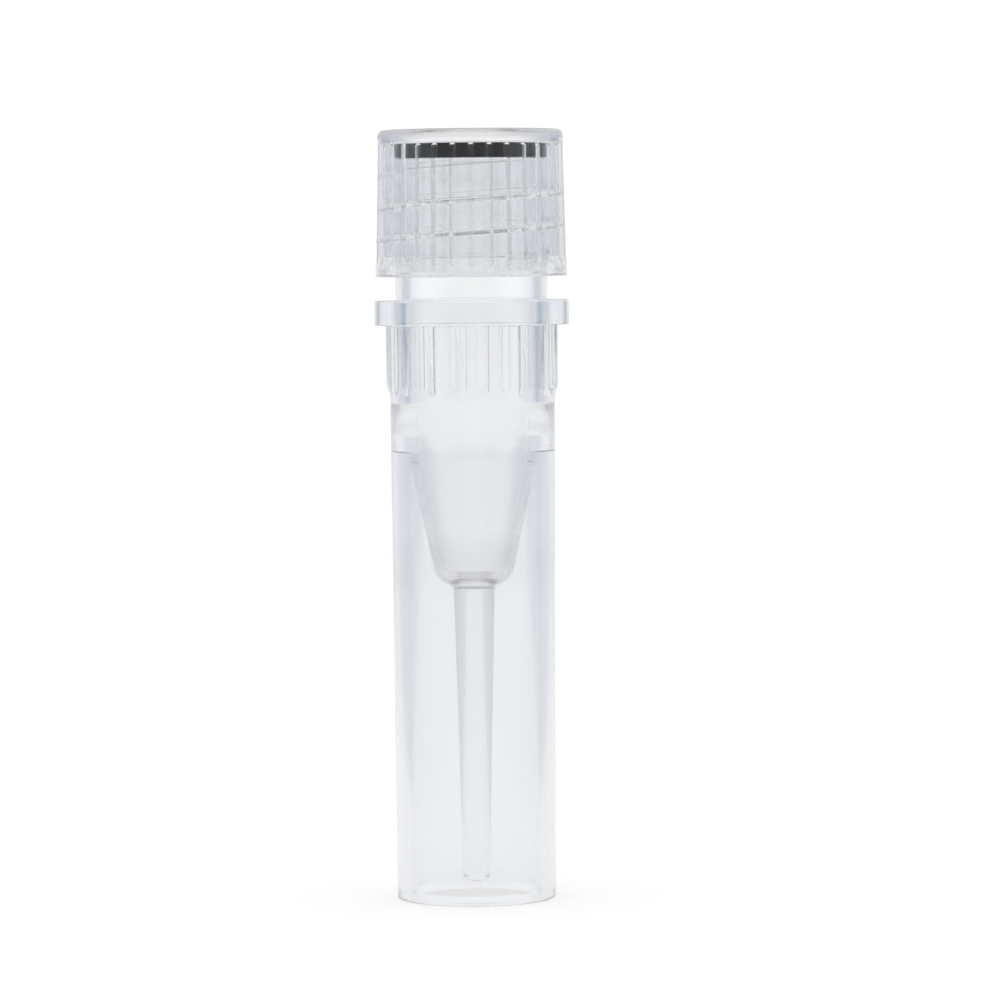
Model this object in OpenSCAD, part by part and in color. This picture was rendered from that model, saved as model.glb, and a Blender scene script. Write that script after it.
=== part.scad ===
// Self-standing screw-cap vial: a moulded tube with a conical reservoir inside a
// skirt, a fluted screw cap and a sealing ring. Millimetres, +Z up, with the origin
// in the middle of the ring that the skirt stands on.

/* [Tube] */
// Height of the rim above the foot
tube_h = 46.5; // [42:0.1:60]
// Diameter of the straight bore
bore_d = 8; // [6.6:0.1:9.6]
// Length of the straight bore, from the rim
bore_depth = 15.3; // [12:0.1:18.4]
// Rounding of the rim's two edges
rim_round = 0.15; // [0.05:0.05:0.25]

/* [Neck] */
// Wall of the neck below its thread
neck_wall = 0.8; // [0.6:0.05:1]
// Height of the threaded length, from the rim down
threaded_h = 6.1; // [4.4:0.1:7.4]
// Height of the plain neck between the thread and the flange
plain_h = 2.7; // [2.2:0.1:4]

/* [Flange] */
// How far the flange stands out of the neck
flange_proud = 1.33; // [1.1:0.01:2]
// Thickness of the flange
flange_t = 1.6; // [1:0.1:2.5]
// Rounding of the flange's edges
flange_round = 0.12; // [0.05:0.01:0.3]

/* [Grip ribs] */
// Number of ribs
rib_count = 16; // [8:1:20]
// Width of a rib
rib_w = 0.7; // [0.4:0.05:1]
// How far a rib stands out of the skirt
rib_proud = 0.2; // [0.1:0.05:0.3]
// Length of a rib, down from the flange
rib_len = 4.4; // [2:0.1:6]
// Height over which a rib's lower end slopes into the skirt
rib_slope = 0.6; // [0.1:0.05:0.8]
// Angle of the first rib from the front
rib_phase = -7.3; // [-22.5:0.1:22.5]

/* [Skirt] */
// Wall round the bore, under the flange
body_wall = 1.21; // [0.9:0.01:1.4]
// How much the skirt narrows from the flange to the foot, each side
skirt_taper = 0.21; // [0:0.01:0.4]
// Wall of the skirt at the foot
foot_wall = 0.95; // [0.75:0.01:1.2]
// Wall of the skirt at the top of the space inside it
hollow_top_wall = 1.15; // [1:0.01:1.5]
// Width of the steep chamfer inside the foot
foot_chamfer_w = 0.12; // [0.05:0.01:0.5]
// Height of that chamfer
foot_chamfer_h = 0.55; // [0.2:0.05:1]
// Rounding outside the foot
foot_round = 0.12; // [0.05:0.01:0.2]

/* [Reservoir] */
// Height of the reservoir, from the bore down to its floor
reservoir_h = 10.9; // [9.5:0.1:12]
// Height of the shoulder at its top, which narrows from the bore
shoulder_h = 2; // [1:0.1:3]
// How much the shoulder narrows the bore, each side
shoulder_in = 0.5; // [0.3:0.01:0.7]
// Height of the waist under the shoulder, which is nearly straight
waist_h = 1.6; // [0.8:0.1:2.4]
// How much the waist narrows, each side
waist_in = 0.08; // [0.04:0.01:0.15]
// Inner diameter at the bottom of the cone under the waist, above its round end
cone_end_d = 4; // [3.4:0.1:4.6]
// Radius of the corner round the floor
floor_round = 0.9; // [0.5:0.1:1.4]
// Thickness of the reservoir's wall
cone_wall = 0.55; // [0.4:0.05:0.8]

/* [Stem] */
// Diameter of the stem under the reservoir
stem_top_d = 2.56; // [2:0.02:3]
// Diameter of the stem at its free end
stem_end_d = 1.66; // [1.2:0.02:2]
// Height of the stem's end above the foot
stem_lift = 1.2; // [0.6:0.1:4]
// Fillet between the stem and the reservoir
stem_fillet = 0.3; // [0.1:0.05:0.5]
// Rounding of the stem's end
stem_round = 0.22; // [0.1:0.02:0.4]
// Diameter of the gate mark on the stem's end
gate_d = 0.6; // [0.4:0.05:0.8]
// Height of the gate mark
gate_h = 0.15; // [0.05:0.05:0.3]

/* [Cap] */
// Gap between the closed cap and the flange
flange_gap = 1.44; // [0.5:0.02:2]
// Thickness of the cap's top plate
plate_t = 0.8; // [0.6:0.05:1.5]
// Wall of the cap under its rounded top edge
cap_wall = 0.6; // [0.5:0.01:1]
// How much the fluted side widens from there to its lower end, each side
cap_taper = 0.18; // [0:0.01:0.3]
// How far the plain band round the cap's mouth stands out of the fluted side
band_proud = 0.05; // [0.02:0.01:0.15]
// Height of the plain band
band_h = 0.9; // [0.5:0.1:2]
// Rounding of the cap's top edge
cap_round = 0.65; // [0.3:0.05:0.8]
// How far the mouth under the cap's thread is cut back from the bore
mouth_relief = 0.24; // [0.1:0.01:0.3]
// Depth of that mouth
mouth_depth = 1.25; // [0.6:0.05:1.6]
// Height of the mouth's straight part, from which it tapers into the bore
mouth_straight = 0.35; // [0.25:0.05:0.5]
// Chamfer inside the mouth's edge
mouth_chamfer = 0.15; // [0.05:0.05:0.2]

/* [Flutes] */
// Number of flutes round the cap
flute_count = 32; // [16:1:40]
// Width of a flute, a V-shaped groove
flute_w = 0.44; // [0.2:0.02:0.6]
// Depth of a flute
flute_depth = 0.12; // [0.05:0.01:0.2]
// Length of a flute's pointed ends
flute_point = 0.25; // [0.1:0.05:0.6]
// Distance from the cap's top to the upper end of the flutes
flute_start = 0.8; // [0.7:0.05:2]
// Angle of the first flute from the front
flute_phase = 0.6; // [-6:0.1:6]

/* [Sealing ring] */
// Thickness of the ring
ring_t = 1; // [0.8:0.05:1.4]
// Width of the ring, from its hole to its outside
ring_w = 1.5; // [1.2:0.05:1.9]
// How far the ring's outside lies inside the rim's
ring_inset = 0.1; // [0:0.02:0.2]
// Gap left between the ring and each face that it seals on
seal_clear = 0.02; // [0:0.01:0.1]
// Clearance between the ring and the cap's collar that centres it
collar_clear = 0.1; // [0.05:0.05:0.2]
// Wall of that collar
collar_wall = 0.8; // [0.5:0.05:1.2]

/* [Thread] */
// Rise of the thread in one turn
thread_pitch = 2; // [1.6:0.1:2.4]
// How far the root of the neck's thread stands out of the plain neck
root_step = 0.1; // [0:0.02:0.2]
// How far the neck's thread stands out of its root
neck_proud = 0.22; // [0.16:0.01:0.26]
// Width of the neck thread's crest
neck_crest_w = 0.3; // [0.2:0.02:0.4]
// Width of the cap thread's crest
cap_crest_w = 0.05; // [0.03:0.01:0.2]
// Angle from square to the axis of the neck thread's flanks and of the one that bears on it
flank_angle = 8; // [3:1:30]
// Angle from square to the axis of the cap thread's lower flank
lead_angle = 50; // [15:1:55]
// Height left bare over the cap's thread, up to the rim
bare_over = 0.75; // [0.6:0.05:1.2]
// Height left bare under the cap's thread, down to the mouth
bare_under = 0.76; // [0.5:0.02:1.4]
// Clearance between the crest of each thread and the wall that it faces
crest_clear = 0.09; // [0.06:0.01:0.12]
// Clearance between the flanks of the two threads
flank_clear = 0.05; // [0.03:0.01:0.1]
// Angle over which a thread rises out of its wall
fade_angle = 40; // [15:5:60]
// Angle of the upper end of the neck's thread from the front
thread_phase = 44; // [0:1:359]

/* [Hidden] */
$fn = 96;

// Heights that follow from the sizes above
thread_low = tube_h - threaded_h;
flange_top = thread_low - plain_h;
flange_under = flange_top - flange_t;
reservoir_top = tube_h - bore_depth;
shoulder_z = reservoir_top - shoulder_h;
waist_z = shoulder_z - waist_h;
floor_z = reservoir_top - reservoir_h;
cone_end_z = floor_z + floor_round;
ring_z = tube_h + seal_clear;
plate_under = ring_z + ring_t + seal_clear;
cap_top = plate_under + plate_t;
cap_foot = flange_top + flange_gap;
mouth_top = cap_foot + mouth_depth;

// Diameters that follow from them
neck_d = bore_d + 2 * neck_wall;
flange_d = neck_d + 2 * flange_proud;
skirt_top_d = bore_d + 2 * body_wall;
foot_d = skirt_top_d - 2 * skirt_taper;
shoulder_d = bore_d - 2 * shoulder_in;
waist_d = shoulder_d - 2 * waist_in;
thread_root_d = neck_d + 2 * root_step;
cap_bore_d = thread_root_d + 2 * (neck_proud + crest_clear);
mouth_d = cap_bore_d + 2 * mouth_relief;
cap_top_d = cap_bore_d + 2 * cap_wall;
cap_side_d = cap_top_d + 2 * cap_taper;
band_d = cap_side_d + 2 * band_proud;
ring_od = thread_root_d - 2 * ring_inset;
ring_id = ring_od - 2 * ring_w;
collar_d = ring_id - 2 * collar_clear;

// How far a cutter reaches past the face that it opens, and one turned cut into the next
overcut = 1;
cut_lap = 0.001;

// How deep a thread's foot is sunk into its wall, and the flat steps that draw one turn
thread_sunk = 0.08;
thread_steps = 60;

// Points of a round corner about [r, z], from angle a0 to a1
function arc(r, z, size, a0, a1, steps = 8) =
    [for (i = [0:steps]) let (a = a0 + (a1 - a0) * i / steps) [r + size * cos(a), z + size * sin(a)]];

// Outer radius of the skirt at a height
function skirt_r(z) = (foot_d + (skirt_top_d - foot_d) * z / flange_under) / 2;

// Half section of the tube's outside, closed along the axis
function outside_points() = concat(
    [[0, 0]],
    arc(skirt_r(0) - foot_round, foot_round, foot_round, -90, 0),
    [[skirt_r(flange_under), flange_under]],
    arc(flange_d / 2 - flange_round, flange_under + flange_round, flange_round, -90, 0, 4),
    arc(flange_d / 2 - flange_round, flange_top - flange_round, flange_round, 0, 90, 4),
    [[neck_d / 2, flange_top], [neck_d / 2, thread_low], [thread_root_d / 2, thread_low]],
    arc(thread_root_d / 2 - rim_round, tube_h - rim_round, rim_round, 0, 90, 4),
    [[0, tube_h]]
);

// Half section of the reservoir up to its straight bore, grown outwards by a wall
function reservoir_points(wall) =
    let (lean = atan((waist_d - cone_end_d) / 2 / (waist_z - cone_end_z)), side = wall / cos(lean))
    concat(
        [[0, floor_z - wall]],
        arc(cone_end_d / 2 - floor_round, cone_end_z, floor_round + wall, -90, -lean),
        [[waist_d / 2 + side, waist_z], [shoulder_d / 2 + side, shoulder_z]],
        [[bore_d / 2 + side, reservoir_top], [0, reservoir_top]]
    );

// Section of a thread in the plane at angle a: its foot sunk into the wall, then its crest.
// toward is 1 for a thread that stands out of a shaft and -1 for one that stands into a bore,
// and lower is the angle of its lower flank.
function thread_section(a, z, wall_r, proud, crest_w, toward, lower, sink) =
    let (
        half = crest_w / 2,
        reach = proud + thread_sunk,
        foot_r = wall_r - toward * (thread_sunk + sink),
        crest_r = wall_r + toward * (proud - sink)
    )
    [for (p = [
        [foot_r, -half - reach * tan(lower)], [crest_r, -half],
        [crest_r, half], [foot_r, half + reach * tan(flank_angle)]
    ]) [p[0] * cos(a), p[0] * sin(a), z + p[1]]];

// A right-hand thread that ends at angle a_top and height z_top, and sinks into its wall at both ends
module thread(z_top, a_top, turns, wall_r, proud, crest_w, toward, lower) {
    count = ceil(turns * thread_steps);
    sections = [
        for (i = [0:count])
            let (down = turns * (1 - i / count), end = min(down, turns - down) * 360)
            thread_section(
                a_top - 360 * down, z_top - thread_pitch * down, wall_r, proud, crest_w, toward, lower,
                (proud + cut_lap) * max(0, 1 - end / fade_angle)
            )
    ];
    sides = [
        for (i = [0:count - 1], j = [0:3])
            let (a = 4 * i + j, b = 4 * i + (j + 1) % 4)
            each [[b, a + 4, a], [b, b + 4, a + 4]]
    ];
    faces = concat(sides, [[3, 2, 1, 0], [for (j = [0:3]) 4 * count + j]]);
    polyhedron(
        points = [for (section = sections) each section],
        faces = toward > 0 ? faces : [for (face = faces) [for (k = [len(face) - 1:-1:0]) face[k]]]
    );
}

module turned(points) {
    rotate_extrude() polygon(points);
}

// The room that the tube holds: the bore over the reservoir
module tube_room() {
    turned(reservoir_points(0));
    translate([0, 0, reservoir_top - cut_lap]) cylinder(d = bore_d, h = bore_depth + cut_lap + overcut);
}

// The solid stem, filleted into the round corner under the reservoir
module stem() {
    stem_r = stem_top_d / 2;
    corner_r = cone_end_d / 2 - floor_round;
    reach = floor_round + cone_wall + stem_fillet;
    side = stem_r + stem_fillet - corner_r;
    fillet_z = cone_end_z - sqrt(reach ^ 2 - side ^ 2);
    turned(concat(
        [[0, stem_lift - gate_h], [gate_d / 2, stem_lift - gate_h], [gate_d / 2, stem_lift]],
        arc(stem_end_d / 2 - stem_round, stem_lift + stem_round, stem_round, -90, 0, 4),
        arc(stem_r + stem_fillet, fillet_z, stem_fillet, 180, 180 - acos(side / reach), 4),
        [[corner_r, cone_end_z], [0, cone_end_z]]
    ));
}

// The space between skirt, reservoir and stem: open at the foot, and a wedge at the top where the
// skirt meets the waist
module skirt_hollow() {
    inner_r = skirt_r(0) - foot_wall;
    top_r = skirt_r(waist_z) - hollow_top_wall;
    difference() {
        turned([
            [0, -overcut],
            [inner_r + foot_chamfer_w, -overcut],
            [inner_r + foot_chamfer_w, 0],
            [inner_r, foot_chamfer_h],
            [top_r, waist_z],
            [top_r, shoulder_z],
            [0, shoulder_z]
        ]);
        turned(reservoir_points(cone_wall));
        stem();
    }
}

module ribs() {
    rib_z = flange_under - rib_len;
    intersection() {
        turned([
            [skirt_r(rib_z) - overcut, rib_z],
            [skirt_r(rib_z), rib_z],
            [skirt_r(rib_z) + rib_proud, rib_z + rib_slope],
            [skirt_r(flange_under) + rib_proud, flange_under],
            [skirt_r(flange_under) - overcut, flange_under]
        ]);
        union() for (i = [0:rib_count - 1])
            rotate([0, 0, -90 + rib_phase + i * 360 / rib_count])
                translate([skirt_top_d / 2 - overcut, 0, rib_z + rib_w / 2]) rotate([0, 90, 0]) {
                    cylinder(d = rib_w, h = 2 * overcut);
                    translate([-rib_len, -rib_w / 2, 0]) cube([rib_len, rib_w, 2 * overcut]);
                }
    }
}

// The neck's thread runs out through the rim
module neck_thread() {
    intersection() {
        thread(
            tube_h, -90 + thread_phase, threaded_h / thread_pitch,
            thread_root_d / 2, neck_proud, neck_crest_w, 1, flank_angle
        );
        translate([0, 0, thread_low])
            cylinder(d = thread_root_d + 4 * neck_proud, h = threaded_h - rim_round);
    }
}

// The cap's thread bears on the neck's from below
module cap_thread() {
    apart = (neck_crest_w + cap_crest_w) / 2 + (neck_proud - crest_clear) * tan(flank_angle)
        + flank_clear / cos(flank_angle);
    top = tube_h - bare_over;
    thread(
        top, -90 + thread_phase + 360 * (apart - bare_over) / thread_pitch,
        (top - mouth_top - bare_under) / thread_pitch,
        cap_bore_d / 2, neck_proud, cap_crest_w, -1, lead_angle
    );
}

module tube() {
    color([0.86, 0.89, 0.92, 0.5]) difference() {
        union() {
            turned(outside_points());
            neck_thread();
            ribs();
        }
        tube_room();
        skirt_hollow();
    }
}

// Half section of the cap's outside
function cap_points() = concat(
    [[0, cap_foot], [band_d / 2, cap_foot]],
    [[band_d / 2, cap_foot + band_h], [cap_side_d / 2, cap_foot + band_h]],
    arc(cap_top_d / 2 - cap_round, cap_top - cap_round, cap_round, 0, 90),
    [[0, cap_top]]
);

// A cutter for one flute: a bar of diamond section, pointed at both ends
module flute_cutter(length) {
    ends = [-flute_point, 0, length - flute_point, length];
    polyhedron(
        points = concat(
            [[0, 0, ends[0]]],
            [for (z = [ends[1], ends[2]], p = [[-1, 0], [0, -1], [1, 0], [0, 1]])
                [p[0] * flute_depth, p[1] * flute_w / 2, z]],
            [[0, 0, ends[3]]]
        ),
        faces = [
            for (i = [0:3])
                let (j = (i + 1) % 4)
                each [[0, 1 + i, 1 + j], [1 + i, 5 + i, 5 + j, 1 + j], [9, 5 + j, 5 + i]]
        ]
    );
}

module flutes() {
    low = cap_foot + band_h;
    lean = atan((cap_side_d - cap_top_d) / 2 / (cap_top - cap_round - low));
    for (i = [0:flute_count - 1])
        rotate([0, 0, -90 + flute_phase + i * 360 / flute_count])
            translate([cap_side_d / 2, 0, low]) rotate([0, -lean, 0])
                flute_cutter(cap_top - flute_start - low);
}

// The cap's bore, with the collar that centres the ring left standing under the plate
module cap_room() {
    difference() {
        translate([0, 0, cap_foot - overcut])
            cylinder(d = cap_bore_d, h = plate_under - cap_foot + overcut);
        translate([0, 0, ring_z]) difference() {
            cylinder(d = collar_d, h = ring_t + overcut);
            translate([0, 0, -overcut]) cylinder(d = collar_d - 2 * collar_wall, h = ring_t + 3 * overcut);
        }
    }
    turned([
        [0, cap_foot - overcut],
        [mouth_d / 2 + mouth_chamfer + overcut, cap_foot - overcut],
        [mouth_d / 2, cap_foot + mouth_chamfer],
        [mouth_d / 2, cap_foot + mouth_straight],
        [cap_bore_d / 2, mouth_top],
        [0, mouth_top]
    ]);
}

module cap() {
    color([0.84, 0.87, 0.9, 0.5]) {
        difference() {
            turned(cap_points());
            cap_room();
            flutes();
        }
        cap_thread();
    }
}

module o_ring() {
    color([0.06, 0.06, 0.07]) translate([0, 0, ring_z]) difference() {
        cylinder(d = ring_od, h = ring_t);
        translate([0, 0, -overcut]) cylinder(d = ring_id, h = ring_t + 2 * overcut);
    }
}

tube();
cap();
o_ring();
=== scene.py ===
"""A clear self-standing screw-cap vial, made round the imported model: tube, cap and sealing ring.

Sizes are in millimetres until a piece is finished; the scene is in metres.
"""
import math

import bmesh
import bpy
from mathutils import Matrix, Vector


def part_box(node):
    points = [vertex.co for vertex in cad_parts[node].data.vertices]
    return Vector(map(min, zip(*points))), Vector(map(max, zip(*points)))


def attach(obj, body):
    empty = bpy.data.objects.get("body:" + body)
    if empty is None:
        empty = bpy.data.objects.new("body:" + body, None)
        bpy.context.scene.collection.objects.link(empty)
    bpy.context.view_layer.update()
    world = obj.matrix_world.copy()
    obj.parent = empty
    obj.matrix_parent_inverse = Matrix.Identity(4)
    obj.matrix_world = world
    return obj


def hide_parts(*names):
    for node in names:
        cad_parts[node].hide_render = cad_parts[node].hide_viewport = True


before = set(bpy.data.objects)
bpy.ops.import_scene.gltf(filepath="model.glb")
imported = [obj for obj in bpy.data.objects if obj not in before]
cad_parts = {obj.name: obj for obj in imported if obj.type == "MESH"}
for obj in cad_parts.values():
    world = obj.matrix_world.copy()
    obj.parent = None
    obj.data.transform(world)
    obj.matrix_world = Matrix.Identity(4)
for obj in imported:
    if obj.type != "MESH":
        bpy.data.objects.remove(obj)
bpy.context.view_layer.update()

MM = 0.001

# Making meshes: angles in degrees, here and below
TURN_STEPS = 256
ARC_STEP = 12
ARC_STEPS_LEAST = 2
SHARP_ANGLE = 28
HELD_LENGTH = 0.06
HELD_EDGE = 4 * HELD_LENGTH
MERGE_DISTANCE = 1e-5
MARGIN = 0.001

TUBE_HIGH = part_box("tube")[1] / MM
CAP_LOW, CAP_HIGH = (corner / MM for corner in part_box("cap"))
RING_LOW, RING_HIGH = (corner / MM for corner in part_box("o_ring"))

# Tube: rim, neck and flange
RIM_Z = TUBE_HIGH.z
BORE_R = 4
BORE_DEPTH = 15.3
RIM_ROUND = 0.15
NECK_R = BORE_R + 0.8
THREAD_LOW = RIM_Z - 6.1
FLANGE_R = TUBE_HIGH.x
FLANGE_TOP = THREAD_LOW - 2.7
FLANGE_UNDER = FLANGE_TOP - 1.6
FLANGE_ROUND = 0.12
EDGE_ROUND = 0.04

# Tube: skirt and the space inside it
SKIRT_TOP_R = BORE_R + 1.21
FOOT_R = SKIRT_TOP_R - 0.21
FOOT_WALL = 0.95
FOOT_ROUND = 0.12
FOOT_CHAMFER_W = 0.12
FOOT_CHAMFER_H = 0.55
HOLLOW_TOP_WALL = 1.15

# Tube: grip ribs
RIB_COUNT = 16
RIB_W = 0.7
RIB_PROUD = 0.2
RIB_LEN = 4.4
RIB_SLOPE = 0.6
RIB_PHASE = -7.3
RIB_SUNK = 0.3
RIB_SOFT = 0.04
RIB_SOFT_STEPS = 4

# Tube: reservoir and stem
RESERVOIR_TOP = RIM_Z - BORE_DEPTH
SHOULDER_Z = RESERVOIR_TOP - 2
SHOULDER_R = BORE_R - 0.5
WAIST_Z = SHOULDER_Z - 1.6
WAIST_R = SHOULDER_R - 0.08
WAIST_SOFT = 0.3
FLOOR_Z = RESERVOIR_TOP - 10.9
CONE_END_R = 2
FLOOR_ROUND = 0.9
CONE_WALL = 0.55
STEM_R = 1.28
STEM_END_R = 0.83
STEM_LIFT = 1.2
STEM_FILLET = 0.3
STEM_ROUND = 0.22
GATE_R = 0.3
GATE_H = 0.15

# Threads
PITCH = 2
ROOT_R = NECK_R + 0.1
PROUD = 0.22
NECK_CREST_W = 0.3
CAP_CREST_W = 0.05
FLANK_ANGLE = 8
LEAD_ANGLE = 50
CREST_CLEAR = 0.09
FLANK_CLEAR = 0.05
FADE_ANGLE = 40
THREAD_PHASE = 44
THREAD_SUNK = 0.08
CREST_SOFT = 0.03
BARE_OVER = 0.75
BARE_UNDER = 0.76

# Cap
CAP_TOP = CAP_HIGH.z
CAP_FOOT = CAP_LOW.z
BAND_R = CAP_HIGH.x
BAND_TOP = CAP_FOOT + 0.9
BAND_ROUND = 0.05
CAP_SIDE_R = BAND_R - 0.05
CAP_TOP_R = CAP_SIDE_R - 0.18
CAP_ROUND = 0.4
CAP_BORE_R = ROOT_R + PROUD + CREST_CLEAR
MOUTH_R = CAP_BORE_R + 0.24
MOUTH_TOP = CAP_FOOT + 1.25
MOUTH_CHAMFER = 0.15
MOUTH_STRAIGHT = 0.35
PLATE_UNDER = CAP_TOP - 0.8
RING_Z = RING_LOW.z
FLUTE_COUNT = 32
FLUTE_W = 0.44
FLUTE_DEPTH = 0.12
FLUTE_POINT = 0.25
FLUTE_TOP = CAP_TOP - 0.8
FLUTE_PHASE = 0.6
FLUTE_SIDES = 4

# Sealing ring
RING_R = RING_HIGH.x
RING_HOLE_R = RING_R - 1.5
RING_ROUND = 0.12
COLLAR_R = RING_HOLE_R - 0.1
COLLAR_WALL = 0.8


def skirt_r(z):
    """Outer radius of the skirt at a height."""
    return FOOT_R + (SKIRT_TOP_R - FOOT_R) * z / FLANGE_UNDER


def arc(r, z, size, start, end):
    """Points of an arc about (r, z), from one angle to another in degrees."""
    steps = max(ARC_STEPS_LEAST, math.ceil(abs(end - start) / ARC_STEP))
    angles = [math.radians(start + (end - start) * i / steps) for i in range(steps + 1)]
    return [(r + size * math.cos(a), z + size * math.sin(a)) for a in angles]


def meet(a, b, c, d):
    """The point where the line through a and b crosses the line through c and d."""
    a, b, c, d = (Vector(point) for point in (a, b, c, d))
    u, v = b - a, d - c
    return a + u * ((c - a).cross(v) / u.cross(v))


def round_corner(bm, vert, radius):
    """Turns a corner of a flat chain into an arc of that radius."""
    u, v = (edge.other_vert(vert).co - vert.co for edge in vert.link_edges)
    corner = u.angle(v)
    offset = radius / math.tan(corner / 2)
    steps = max(ARC_STEPS_LEAST, math.ceil((180 - math.degrees(corner)) / ARC_STEP))
    bmesh.ops.bevel(
        bm, geom=[vert], affect="VERTICES", offset_type="OFFSET", offset=offset,
        segments=steps, profile=0.5, material=-1, clamp_overlap=False,
    )


def outline(points, closed=False):
    """A half section in the plane y = 0: a chain through (r, z) or (r, z, corner radius)."""
    bm = bmesh.new()
    verts = [bm.verts.new((point[0], 0, point[1])) for point in points]
    pairs = zip(verts, verts[1:] + verts[:1] if closed else verts[1:])
    for pair in pairs:
        bm.edges.new(pair)
    for vert, point in zip(verts, points):
        if len(point) == 3:
            round_corner(bm, vert, point[2])
    return bm


def hold_ends(bm):
    """Splits each long edge close to its ends, so that smooth shading stays within the corners."""
    for edge in [edge for edge in bm.edges if edge.calc_length() > HELD_EDGE]:
        for vert in edge.verts[:]:
            length = edge.calc_length()
            split = bmesh.utils.edge_split(edge, vert, HELD_LENGTH / length)[0]
            edge = edge if edge.calc_length() > split.calc_length() else split


def spin_whole(bm, steps=TURN_STEPS):
    """Spins an outline a full turn about the axis."""
    hold_ends(bm)
    bmesh.ops.spin(
        bm, geom=bm.verts[:] + bm.edges[:], cent=(0, 0, 0), axis=(0, 0, 1),
        angle=math.tau, steps=steps, use_merge=True,
    )
    finish_faces(bm)
    return bm


def finish_faces(bm):
    """Merges points that meet and turns every face outwards."""
    bmesh.ops.remove_doubles(bm, verts=bm.verts, dist=MERGE_DISTANCE)
    bmesh.ops.recalc_face_normals(bm, faces=bm.faces)


def repeat_round(bm, count, phase):
    """Repeats what stands at angle 0 in count places about the axis.

    The first is phase degrees from the front.
    """
    first = bm.verts[:] + bm.edges[:] + bm.faces[:]
    turn(bm, bm.verts, phase - 90)
    for i in range(1, count):
        copy = bmesh.ops.duplicate(bm, geom=first)["geom"]
        turn(bm, [part for part in copy if isinstance(part, bmesh.types.BMVert)], 360 * i / count)
    return bm


def turn(bm, verts, degrees):
    """Turns points about the axis."""
    matrix = Matrix.Rotation(math.radians(degrees), 3, "Z")
    bmesh.ops.rotate(bm, verts=verts, cent=(0, 0, 0), matrix=matrix)


def piece(name, bm):
    """A Blender object that holds the mesh."""
    mesh = bpy.data.meshes.new(name)
    bm.to_mesh(mesh)
    bm.free()
    made = bpy.data.objects.new(name, mesh)
    bpy.context.scene.collection.objects.link(made)
    return made


def combine(body, bm, operation):
    """Joins a mesh to a body, or cuts it away, as one closed solid."""
    tool = piece("tool", bm)
    modifier = body.modifiers.new(operation, "BOOLEAN")
    modifier.object = tool
    modifier.operation = operation
    modifier.solver = "MANIFOLD"
    graph = bpy.context.evaluated_depsgraph_get()
    mesh = bpy.data.meshes.new_from_object(body.evaluated_get(graph))
    body.modifiers.clear()
    body.data = mesh
    bpy.data.objects.remove(tool)


def complete(body, material):
    """Brings a finished piece to metres, smooths it between sharp edges and gives it a material."""
    bm = bmesh.new()
    bm.from_mesh(body.data)
    bmesh.ops.scale(bm, vec=(MM, MM, MM), verts=bm.verts)
    for face in bm.faces:
        face.smooth = True
    for edge in bm.edges:
        edge.smooth = edge.calc_face_angle(0) < math.radians(SHARP_ANGLE)
    bm.to_mesh(body.data)
    bm.free()
    body.data.materials.clear()
    body.data.materials.append(material)


def thread(z_top, angle_top, turns, wall_r, crest_w, toward, lower):
    """A right-hand ridge that ends at angle_top and z_top, and sinks into its wall at both ends.

    toward is 1 for a ridge that stands out of a shaft and -1 for one that stands into a bore, and
    lower is the angle of its lower flank to the level.
    """
    half = crest_w / 2
    depth = PROUD + THREAD_SUNK
    upper, lower = (half + depth * math.tan(math.radians(slope)) for slope in (FLANK_ANGLE, lower))
    foot_r = wall_r - toward * THREAD_SUNK
    crest_r = wall_r + toward * PROUD
    steps = math.ceil(turns * TURN_STEPS)
    bm = outline([
        (foot_r, -lower),
        (crest_r, -half, CREST_SOFT),
        (crest_r, half, CREST_SOFT),
        (foot_r, upper),
    ], closed=True)
    bmesh.ops.contextual_create(bm, geom=bm.edges[:])
    bmesh.ops.spin(
        bm, geom=bm.verts[:] + bm.edges[:] + bm.faces[:], cent=(0, 0, 0), axis=(0, 0, 1),
        dvec=(0, 0, PITCH * turns / steps), angle=math.tau * turns, steps=steps,
    )
    finish_faces(bm)
    for vert in bm.verts:
        angle = math.atan2(vert.co.y, vert.co.x) / math.tau % 1
        along = angle + round(vert.co.z / PITCH - angle)
        end = 360 * min(along, turns - along)
        sink = toward * (PROUD + MARGIN) * max(0, 1 - end / FADE_ANGLE)
        reach = Vector((vert.co.x, vert.co.y, 0))
        vert.co -= reach.normalized() * sink
    bmesh.ops.translate(bm, vec=(0, 0, z_top - PITCH * turns), verts=bm.verts)
    turn(bm, bm.verts, angle_top - 360 * turns)
    return bm


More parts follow.
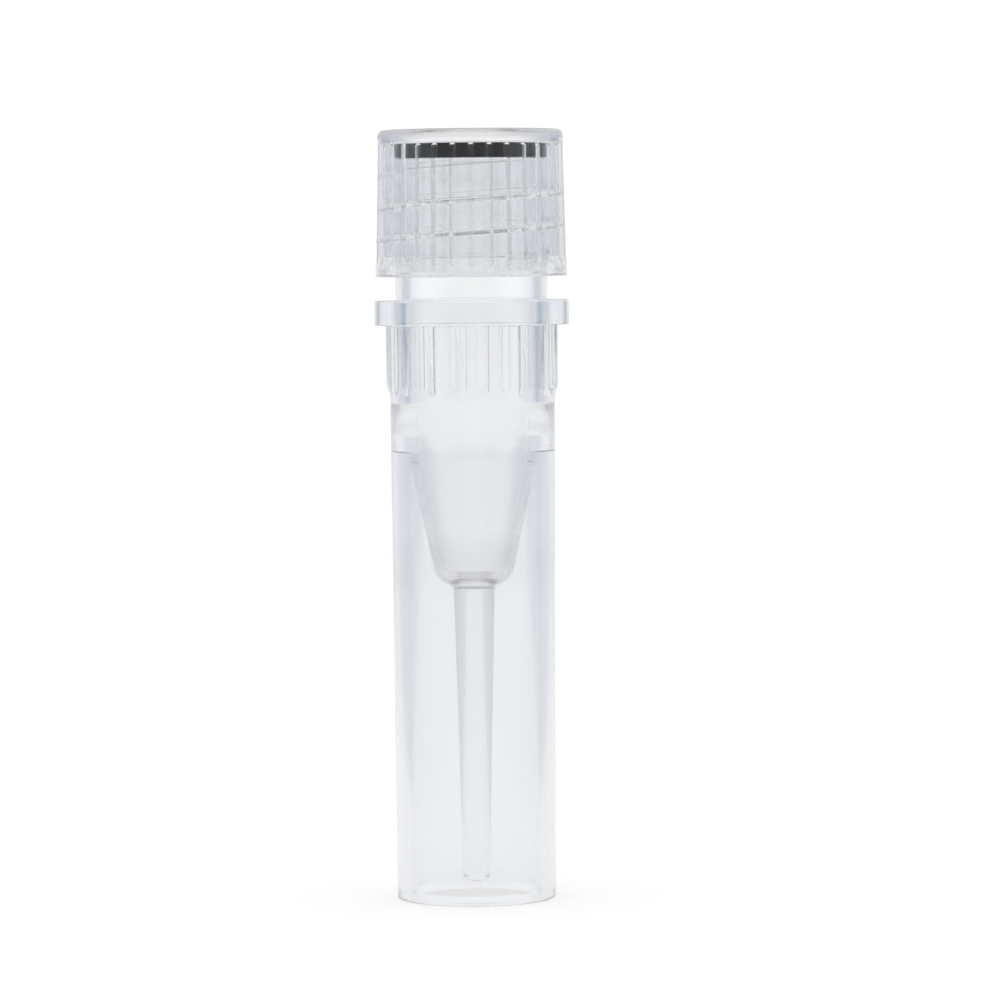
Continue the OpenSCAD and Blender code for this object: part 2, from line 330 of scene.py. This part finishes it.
def tube_outline():
    """The tube's half section, up the bore, down the outside and up the hollow to the stem."""
    lean = math.atan((WAIST_R - CONE_END_R) / (WAIST_Z - FLOOR_Z - FLOOR_ROUND))
    corner = (CONE_END_R - FLOOR_ROUND, FLOOR_Z + FLOOR_ROUND)
    floor_corner_r = WAIST_R - (WAIST_Z - FLOOR_Z) * math.tan(lean)
    side = CONE_WALL / math.cos(lean)
    shell = [(WAIST_R + side, WAIST_Z), (SHOULDER_R + side, SHOULDER_Z)]
    reach = FLOOR_ROUND + CONE_WALL + STEM_FILLET
    across = STEM_R + STEM_FILLET - corner[0]
    bite = math.degrees(math.acos(across / reach))
    under = arc(*corner, FLOOR_ROUND + CONE_WALL, -math.degrees(lean), -bite)
    fillet_z = corner[1] - math.sqrt(reach ** 2 - across ** 2)
    fillet = arc(STEM_R + STEM_FILLET, fillet_z, STEM_FILLET, 180 - bite, 180)
    hollow_r = skirt_r(WAIST_Z) - HOLLOW_TOP_WALL
    hollow_top = meet((hollow_r, WAIST_Z), (hollow_r, SHOULDER_Z), *shell)
    return outline([
        (0, FLOOR_Z),
        (floor_corner_r, FLOOR_Z, FLOOR_ROUND),
        (WAIST_R, WAIST_Z, WAIST_SOFT),
        (SHOULDER_R, SHOULDER_Z, WAIST_SOFT),
        (BORE_R, RESERVOIR_TOP, WAIST_SOFT),
        (BORE_R, RIM_Z, RIM_ROUND),
        (ROOT_R, RIM_Z, RIM_ROUND),
        (ROOT_R, THREAD_LOW, EDGE_ROUND),
        (NECK_R, THREAD_LOW, EDGE_ROUND),
        (NECK_R, FLANGE_TOP, EDGE_ROUND),
        (FLANGE_R, FLANGE_TOP, FLANGE_ROUND),
        (FLANGE_R, FLANGE_UNDER, FLANGE_ROUND),
        (SKIRT_TOP_R, FLANGE_UNDER, EDGE_ROUND),
        (FOOT_R, 0, FOOT_ROUND),
        (FOOT_R - FOOT_WALL + FOOT_CHAMFER_W, 0, EDGE_ROUND),
        (FOOT_R - FOOT_WALL, FOOT_CHAMFER_H, EDGE_ROUND),
        (hollow_r, WAIST_Z),
        tuple(hollow_top),
        shell[0],
        *under,
        *fillet[1:],
        (STEM_END_R, STEM_LIFT, STEM_ROUND),
        (GATE_R, STEM_LIFT),
        (GATE_R, STEM_LIFT - GATE_H, EDGE_ROUND),
        (0, STEM_LIFT - GATE_H),
    ])


def ribs():
    """Grip ribs let into the skirt and the flange, with round lower ends sloped to the skirt."""
    low, high = FLANGE_UNDER - RIB_LEN, FLANGE_UNDER + RIB_SUNK
    inside = skirt_r(low) - RIB_SUNK
    bm = bmesh.new()
    corners = [(-1, low), (1, low), (1, high), (-1, high)]
    verts = [bm.verts.new((inside, side * RIB_W / 2, z)) for side, z in corners]
    bm.faces.new(verts)
    for vert in verts[:2]:
        round_corner(bm, vert, RIB_W / 2 - MARGIN)
    bmesh.ops.bisect_plane(
        bm, geom=bm.verts[:] + bm.edges[:] + bm.faces[:],
        plane_co=(0, 0, low + RIB_SLOPE), plane_no=(0, 0, 1),
    )
    new = bmesh.ops.extrude_face_region(bm, geom=bm.faces[:])["geom"]
    outer = [part for part in new if isinstance(part, bmesh.types.BMVert)]
    for vert in outer:
        vert.co.x = skirt_r(vert.co.z) + RIB_PROUD * min(1, (vert.co.z - low) / RIB_SLOPE)
    finish_faces(bm)
    outer = set(outer)
    rims = [
        edge for edge in bm.edges
        if outer.issuperset(edge.verts)
        and sum(outer.issuperset(face.verts) for face in edge.link_faces) == 1
    ]
    bmesh.ops.bevel(
        bm, geom=rims, affect="EDGES", offset_type="OFFSET", offset=RIB_SOFT,
        segments=RIB_SOFT_STEPS, profile=0.5, material=-1, clamp_overlap=True,
    )
    return repeat_round(bm, RIB_COUNT, RIB_PHASE)


def make_tube():
    """The turned tube with its thread, cut level near the rim, and its ribs."""
    body = piece("vial_tube", spin_whole(tube_outline()))
    turns = (RIM_Z - THREAD_LOW) / PITCH
    ridge = thread(RIM_Z, THREAD_PHASE - 90, turns, ROOT_R, NECK_CREST_W, 1, FLANK_ANGLE)
    cut = bmesh.ops.bisect_plane(
        ridge, geom=ridge.verts[:] + ridge.edges[:] + ridge.faces[:], clear_outer=True,
        plane_co=(0, 0, RIM_Z - RIM_ROUND), plane_no=(0, 0, 1),
    )["geom_cut"]
    rim = [part for part in cut if isinstance(part, bmesh.types.BMEdge)]
    bmesh.ops.contextual_create(ridge, geom=rim)
    combine(body, ridge, "UNION")
    combine(body, ribs(), "UNION")
    return body


def cap_outline():
    """The cap's half section, from the top down the outside and up the inside to the collar."""
    return outline([
        (0, CAP_TOP),
        (CAP_TOP_R, CAP_TOP, CAP_ROUND),
        (CAP_SIDE_R, BAND_TOP),
        (BAND_R, BAND_TOP, BAND_ROUND / 2),
        (BAND_R, CAP_FOOT, BAND_ROUND),
        (MOUTH_R + MOUTH_CHAMFER, CAP_FOOT),
        (MOUTH_R, CAP_FOOT + MOUTH_CHAMFER),
        (MOUTH_R, CAP_FOOT + MOUTH_STRAIGHT, EDGE_ROUND),
        (CAP_BORE_R, MOUTH_TOP, EDGE_ROUND),
        (CAP_BORE_R, PLATE_UNDER, RIM_ROUND),
        (COLLAR_R, PLATE_UNDER, EDGE_ROUND),
        (COLLAR_R, RING_Z, EDGE_ROUND),
        (COLLAR_R - COLLAR_WALL, RING_Z, EDGE_ROUND),
        (COLLAR_R - COLLAR_WALL, PLATE_UNDER, EDGE_ROUND),
        (0, PLATE_UNDER),
    ])


def flutes():
    """V-shaped cutters with pointed ends for the flutes, each leaning with the cap's side."""
    length = FLUTE_TOP - BAND_TOP - FLUTE_POINT
    profile = outline([
        (0, -FLUTE_POINT),
        (FLUTE_DEPTH, 0),
        (FLUTE_DEPTH, length),
        (0, length + FLUTE_POINT),
    ])
    bm = spin_whole(profile, FLUTE_SIDES)
    bmesh.ops.scale(bm, vec=(1, FLUTE_W / 2 / FLUTE_DEPTH, 1), verts=bm.verts)
    lean = math.atan((CAP_SIDE_R - CAP_TOP_R) / (CAP_TOP - CAP_ROUND - BAND_TOP))
    matrix = Matrix.Rotation(-lean, 3, "Y")
    bmesh.ops.rotate(bm, verts=bm.verts, cent=(0, 0, 0), matrix=matrix)
    bmesh.ops.translate(bm, verts=bm.verts, vec=(CAP_SIDE_R, 0, BAND_TOP))
    return repeat_round(bm, FLUTE_COUNT, FLUTE_PHASE)


def make_cap():
    """The turned cap with its thread, which lies a clearance under the neck's, and its flutes."""
    body = piece("vial_cap", spin_whole(cap_outline()))
    flank = math.radians(FLANK_ANGLE)
    apart = (
        (NECK_CREST_W + CAP_CREST_W) / 2 + (PROUD - CREST_CLEAR) * math.tan(flank)
        + FLANK_CLEAR / math.cos(flank)
    )
    top = RIM_Z - BARE_OVER
    angle_top = THREAD_PHASE - 90 + 360 * (apart - BARE_OVER) / PITCH
    turns = (top - MOUTH_TOP - BARE_UNDER) / PITCH
    ridge = thread(top, angle_top, turns, CAP_BORE_R, CAP_CREST_W, -1, LEAD_ANGLE)
    combine(body, ridge, "UNION")
    combine(body, flutes(), "DIFFERENCE")
    return body


def make_ring():
    """The flat sealing ring with softened corners."""
    low, high = RING_LOW.z, RING_HIGH.z
    corners = [(RING_HOLE_R, low), (RING_R, low), (RING_R, high), (RING_HOLE_R, high)]
    section = outline([(*corner, RING_ROUND) for corner in corners], closed=True)
    return piece("sealing_ring", spin_whole(section))


class Value:
    """A socket of a node tree. Python's operators on it add Math nodes."""

    def __init__(self, nodes, socket):
        self.nodes = nodes
        self.socket = socket

    def math(self, operation, *values):
        return self.nodes.add("ShaderNodeMath", {"operation": operation}, dict(enumerate(values)))

    def __abs__(self):
        return self.math("ABSOLUTE", self)

    def __add__(self, other):
        return self.math("ADD", self, other)

    def __sub__(self, other):
        return self.math("SUBTRACT", self, other)

    def __rsub__(self, other):
        return self.math("SUBTRACT", other, self)

    def __mul__(self, other):
        return self.math("MULTIPLY", self, other)

    def __truediv__(self, other):
        return self.math("DIVIDE", self, other)

    def __rtruediv__(self, other):
        return self.math("DIVIDE", other, self)

    __radd__ = __add__
    __rmul__ = __mul__


class Nodes:
    """The node tree of a material or a world, empty at first."""

    def __init__(self, owner):
        owner.use_nodes = True
        self.tree = owner.node_tree
        self.tree.nodes.clear()

    def add(self, kind, settings=None, inputs=None, output=0):
        """Adds a node, its settings before its sockets' values or links, and returns one output."""
        node = self.tree.nodes.new(kind)
        for name, value in (settings or {}).items():
            setattr(node, name, value)
        for name, value in (inputs or {}).items():
            if isinstance(value, Value):
                self.tree.links.new(value.socket, node.inputs[name])
            else:
                node.inputs[name].default_value = value
        return Value(self, node.outputs[output]) if node.outputs else None

    def axis(self, vector, name):
        return self.add("ShaderNodeSeparateXYZ", {}, {"Vector": vector}, name)

    def length(self, vector):
        return self.add("ShaderNodeVectorMath", {"operation": "LENGTH"}, {0: vector}, "Value")

    def blend(self, low, high, value):
        """A smooth step from 0 to 1 as value goes from low to high."""
        settings = {"interpolation_type": "SMOOTHSTEP"}
        inputs = {"Value": value, "From Min": low, "From Max": high}
        return self.add("ShaderNodeMapRange", settings, inputs)

    def noise(self, scale, detail, stretch=(1, 1, 1)):
        """Noise from 0 to 1 over the piece, with scale features to a metre."""
        place = self.add("ShaderNodeTexCoord", output="Object")
        place = self.add("ShaderNodeMapping", {}, {"Vector": place, "Scale": stretch})
        inputs = {"Vector": place, "Scale": scale, "Detail": detail}
        return self.add("ShaderNodeTexNoise", {}, inputs)

    def mix(self, factor, low, high):
        """A colour between two, from low at 0 to high at 1."""
        settings = {"data_type": "RGBA"}
        return self.add("ShaderNodeMix", settings, {"Factor": factor, 6: low, 7: high}, 2)

    def ramp(self, value, low, high, stops):
        """A colour that runs through stops of (value, colour) as value goes from low to high."""
        colour = self.add("ShaderNodeValToRGB", {}, {"Fac": (value - low) / (high - low)})
        elements = colour.socket.node.color_ramp.elements
        while len(elements) < len(stops):
            elements.new(1)
        for element, (place, shade) in zip(elements, stops):
            element.position = (place - low) / (high - low)
            element.color = shade
        return colour

    def bump(self, height, distance):
        """A normal for relief of that depth in metres."""
        inputs = {"Height": height, "Distance": distance, "Strength": 1}
        return self.add("ShaderNodeBump", {}, inputs)


# Finishes. A noise is given by its scale, detail and stretch, and the roughness that it makes by
# its least value and what the noise adds. Depths of relief are in metres.
WHITE = (1, 1, 1, 1)

# Clear plastic
CLEAR_IOR = 1.49
SKIN_STEP = 0.1
BORE_STEP = 1
TUBE_FINISH = {
    "rough": (0.06, 0.08),
    "edge": (FLANGE_TOP - 0.1, FLANGE_TOP + 0.1),
    # Below the flange top the skin is tinted darker than the neck's: painted shade on the flange
    # and skirt, over the plastic's own faint grey
    "tint_and_shade": ((0.835, 0.845, 0.86, 1), (0.93, 0.94, 0.95, 1)),
    "skin_r": BORE_R + 0.55,
    "density": 1,
    "cloud": [
        (FLOOR_Z - 1.3, 0.15), (FLOOR_Z, 0.7), (FLOOR_Z + 1.3, 0.7), (FLOOR_Z + 2.7, 0.15),
        (RESERVOIR_TOP - 1.2, 0.22), (RESERVOIR_TOP + 1.8, 0),
    ],
}
CAP_FINISH = {
    "rough": (0.1, 0.3),
    "edge": (CAP_TOP - 0.74, CAP_TOP - 0.44),
    # The cap's top edge is tinted greyer and darker than its side: painted shade
    "tint_and_shade": ((0.89, 0.9, 0.915, 1), (0.86, 0.86, 0.87, 1)),
    "skin_r": CAP_BORE_R + 0.49,
    "density": 3,
    "cloud": [(CAP_TOP - 1.04, 0), (CAP_TOP - 0.74, 0.2)],
}
CLEARNESS = 0.995
BORE_ROUGH = 0.05
CLOUD_ROUGH = 0.22
DEPTH_COLOUR = (0.1, 0.12, 0.16, 1)
FLOW_NOISE = (260, 4, (1, 1, 0.25))
FLOW_ROUGH = (0.6, 0.8)
GRAIN_NOISE = (2600, 2)
GRAIN_SHARE = 0.1
MARKS_DEPTH = 0.0000005

# Black rubber
RUBBER_COLOURS = ((0.003, 0.003, 0.0035, 1), (0.008, 0.008, 0.009, 1))
RUBBER_SPECULAR = 0.2
RUBBER_PATCH_NOISE = (700, 2)
RUBBER_PATCH_ROUGH = (0.42, 0.2)
RUBBER_GRAIN_NOISE = (9000, 4)
RUBBER_GRAIN_DEPTH = 0.000006


def clear_plastic(name, rough, edge, tint_and_shade, skin_r, density, cloud):
    """Clear moulded plastic with faint flow marks.

    The roughness and the tint of its skin, outside skin_r, go from their first to their second
    value over the heights of edge; where the tint turns darker, that is painted shade laid over the
    plastic's own faint grey. Inside skin_r it is a little rougher in the bore, and partly cloudy by
    height, in stops of (height, share).
    """
    material = bpy.data.materials.new(name)
    nodes = Nodes(material)
    place = nodes.add("ShaderNodeTexCoord", output="Object")
    z = nodes.axis(place, "Z")
    height = nodes.blend(edge[0] * MM, edge[1] * MM, z)
    across = nodes.add("ShaderNodeVectorMath", {"operation": "MULTIPLY"}, {0: place, 1: (1, 1, 0)})
    skin = nodes.blend((skin_r - SKIN_STEP) * MM, (skin_r + SKIN_STEP) * MM, nodes.length(across))
    bore = (1 - skin) * nodes.blend(RESERVOIR_TOP * MM, (RESERVOIR_TOP + BORE_STEP) * MM, z)
    flow = nodes.noise(*FLOW_NOISE)
    grain = nodes.noise(*GRAIN_NOISE)
    marks = nodes.bump(flow + GRAIN_SHARE * grain, MARKS_DEPTH)
    dulled = rough[0] + (rough[1] - rough[0]) * height + bore * BORE_ROUGH
    clear = nodes.add("ShaderNodeBsdfPrincipled", {}, {
        # Base colour: white inside skin_r; outside it the plastic's faint grey, with painted shade
        # where the tint turns darker
        "Base Color": nodes.mix(skin, WHITE, nodes.mix(height, *tint_and_shade)),
        "Roughness": dulled * (FLOW_ROUGH[0] + FLOW_ROUGH[1] * flow),
        "IOR": CLEAR_IOR,
        "Transmission Weight": CLEARNESS,
        "Normal": marks,
    })
    cloudy = nodes.add("ShaderNodeBsdfPrincipled", {}, {
        "Base Color": WHITE,
        "Roughness": CLOUD_ROUGH,
        "IOR": CLEAR_IOR,
        "Transmission Weight": 1,
        "Normal": marks,
    })
    stops = [(level, (share, share, share, 1)) for level, share in cloud]
    share = nodes.ramp(z / MM, 0, CAP_TOP, stops) * (1 - skin)
    shader = nodes.add("ShaderNodeMixShader", {}, {0: share, 1: clear, 2: cloudy})
    depth = {"Color": DEPTH_COLOUR, "Density": density}
    volume = nodes.add("ShaderNodeVolumeAbsorption", {}, depth)
    nodes.add("ShaderNodeOutputMaterial", {}, {"Surface": shader, "Volume": volume})
    return material


def black_rubber():
    """Dull black rubber, a little uneven in tone, with a fine grain."""
    material = bpy.data.materials.new("black_rubber")
    nodes = Nodes(material)
    grain = nodes.noise(*RUBBER_GRAIN_NOISE)
    patches = nodes.noise(*RUBBER_PATCH_NOISE)
    shader = nodes.add("ShaderNodeBsdfPrincipled", {}, {
        "Base Color": nodes.mix(patches, *RUBBER_COLOURS),
        "Roughness": RUBBER_PATCH_ROUGH[0] + RUBBER_PATCH_ROUGH[1] * patches,
        "Specular IOR Level": RUBBER_SPECULAR,
        "Normal": nodes.bump(grain, RUBBER_GRAIN_DEPTH),
    })
    nodes.add("ShaderNodeOutputMaterial", {}, {"Surface": shader})
    return material


# Studio: the surround runs from the front at -1 to the back at 1. The floor's distances are
# in metres, apart from its drop under the foot, which is in millimetres.
BACK_COLOUR = (1.06, 1.06, 1.06, 1)
STRIP_COLOUR = (0.3, 0.4, 0.52, 1)
HAZE_COLOUR = (0.62, 0.65, 0.7, 1)
SIDE_COLOUR = (0.9, 0.92, 0.95, 1)
FRONT_COLOUR = (0.15, 0.155, 0.165, 1)
SURROUND = [
    (-0.8, FRONT_COLOUR), (-0.4, SIDE_COLOUR), (0.4, SIDE_COLOUR), (0.5, STRIP_COLOUR),
    (0.6, STRIP_COLOUR), (0.67, HAZE_COLOUR), (0.8, HAZE_COLOUR), (0.95, BACK_COLOUR),
]
TOP_EDGE = (0.08, 0.25)
FLOOR_DROP = 0.03
FLOOR_R = 4
FLOOR_SIDES = 64
FLOOR_FADE = (0.4, 2.5)
FLOOR_COLOUR = (0.4, 0.4, 0.4, 1)
FLOOR_GLOW = 0.64
# Aside, the floor's glow is dimmer and bluer: a painted shade, seen through the skirt's sides
ASIDE_SHADE_COLOUR = (0.7, 0.735, 0.79, 1)
ASIDE_EDGE = (0.04, 0.08)
ASIDE_SPREAD = 0.15


def surround(nodes, way):
    """The soft light in a direction.

    It is white behind the vial, hazy and then blue-grey towards the sides, pale beside it and
    dark in front of it.
    """
    return nodes.ramp(nodes.axis(way, "Y"), -1, 1, SURROUND)


def pale_floor():
    """A white floor that glows, dimmer and bluer aside as a painted shade, and that far off takes
    on the light above its edge.
    """
    material = bpy.data.materials.new("pale_floor")
    nodes = Nodes(material)
    place = nodes.add("ShaderNodeTexCoord", output="Object")
    way = nodes.add("ShaderNodeVectorMath", {"operation": "NORMALIZE"}, {0: place})
    x, y = (abs(nodes.axis(place, name)) for name in "XY")
    aside = nodes.blend(*ASIDE_EDGE, x - ASIDE_SPREAD * y)
    near = nodes.add("ShaderNodeBsdfDiffuse", {}, {"Color": FLOOR_COLOUR})
    # Painted shade: the glow is dimmer and bluer aside
    colour = nodes.mix(aside, WHITE, ASIDE_SHADE_COLOUR)
    glow = nodes.add("ShaderNodeEmission", {}, {"Color": colour, "Strength": FLOOR_GLOW})
    near = nodes.add("ShaderNodeAddShader", {}, {0: near, 1: glow})
    far = nodes.add("ShaderNodeEmission", {}, {"Color": surround(nodes, way), "Strength": 1})
    fade = nodes.blend(*FLOOR_FADE, nodes.length(place))
    shader = nodes.add("ShaderNodeMixShader", {}, {0: fade, 1: near, 2: far})
    nodes.add("ShaderNodeOutputMaterial", {}, {"Surface": shader})
    return material


def studio():
    """The pale floor and the soft light all round, which is white from above."""
    bm = bmesh.new()
    bmesh.ops.create_circle(bm, cap_ends=True, radius=FLOOR_R, segments=FLOOR_SIDES)
    bmesh.ops.translate(bm, vec=(0, 0, -FLOOR_DROP * MM), verts=bm.verts)
    floor = piece("floor", bm)
    floor.data.materials.append(pale_floor())
    world = bpy.data.worlds.new("studio")
    bpy.context.scene.world = world
    nodes = Nodes(world)
    way = nodes.add("ShaderNodeTexCoord", output="Generated")
    above = nodes.blend(*TOP_EDGE, nodes.axis(way, "Z"))
    light = nodes.mix(above, surround(nodes, way), WHITE)
    background = nodes.add("ShaderNodeBackground", {}, {"Color": light, "Strength": 1})
    nodes.add("ShaderNodeOutputWorld", {}, {"Surface": background})


# Camera
CAMERA_DISTANCE = 321
CAMERA_ASIDE = 1.82
CAMERA_Z = 41.7
CAMERA_PITCH = 2.967
CAMERA_ROLL = 0.505
FRAME_WIDTH = 62.85
SENSOR = 36
CLIP_START = 10


def make_camera():
    """The camera in front of the vial and a little above its flange.

    FRAME_WIDTH is the width of its view at the vial.
    """
    data = bpy.data.cameras.new("camera")
    data.sensor_width = SENSOR
    data.lens = CAMERA_DISTANCE * SENSOR / FRAME_WIDTH
    data.clip_start = CLIP_START * MM
    camera = bpy.data.objects.new("camera", data)
    camera.location = (CAMERA_ASIDE * MM, -CAMERA_DISTANCE * MM, CAMERA_Z * MM)
    camera.rotation_euler = (math.radians(90 - CAMERA_PITCH), math.radians(CAMERA_ROLL), 0)
    bpy.context.scene.collection.objects.link(camera)
    bpy.context.scene.camera = camera


def place(made, material, node, body, slot):
    """Finishes a piece and lets it stand for a node and move with a body."""
    complete(made, material)
    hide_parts(node)
    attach(made, body)


tube_plastic = clear_plastic("tube_plastic", **TUBE_FINISH)
cap_plastic = clear_plastic("cap_plastic", **CAP_FINISH)
place(make_tube(), tube_plastic, "tube", "vial_body", "tube_plastic")
place(make_cap(), cap_plastic, "cap", "cap_body", "cap_plastic")
place(make_ring(), black_rubber(), "o_ring", "seal_body", "ring_rubber")
studio()
make_camera()

# Clear walls need many bounces, or their corners turn black
CLEAR_BOUNCES = 128
DIFFUSE_BOUNCES = 16

scene = bpy.context.scene
scene.view_settings.view_transform = "Standard"
scene.cycles.max_bounces = CLEAR_BOUNCES
scene.cycles.transmission_bounces = CLEAR_BOUNCES
scene.cycles.glossy_bounces = CLEAR_BOUNCES
scene.cycles.diffuse_bounces = DIFFUSE_BOUNCES
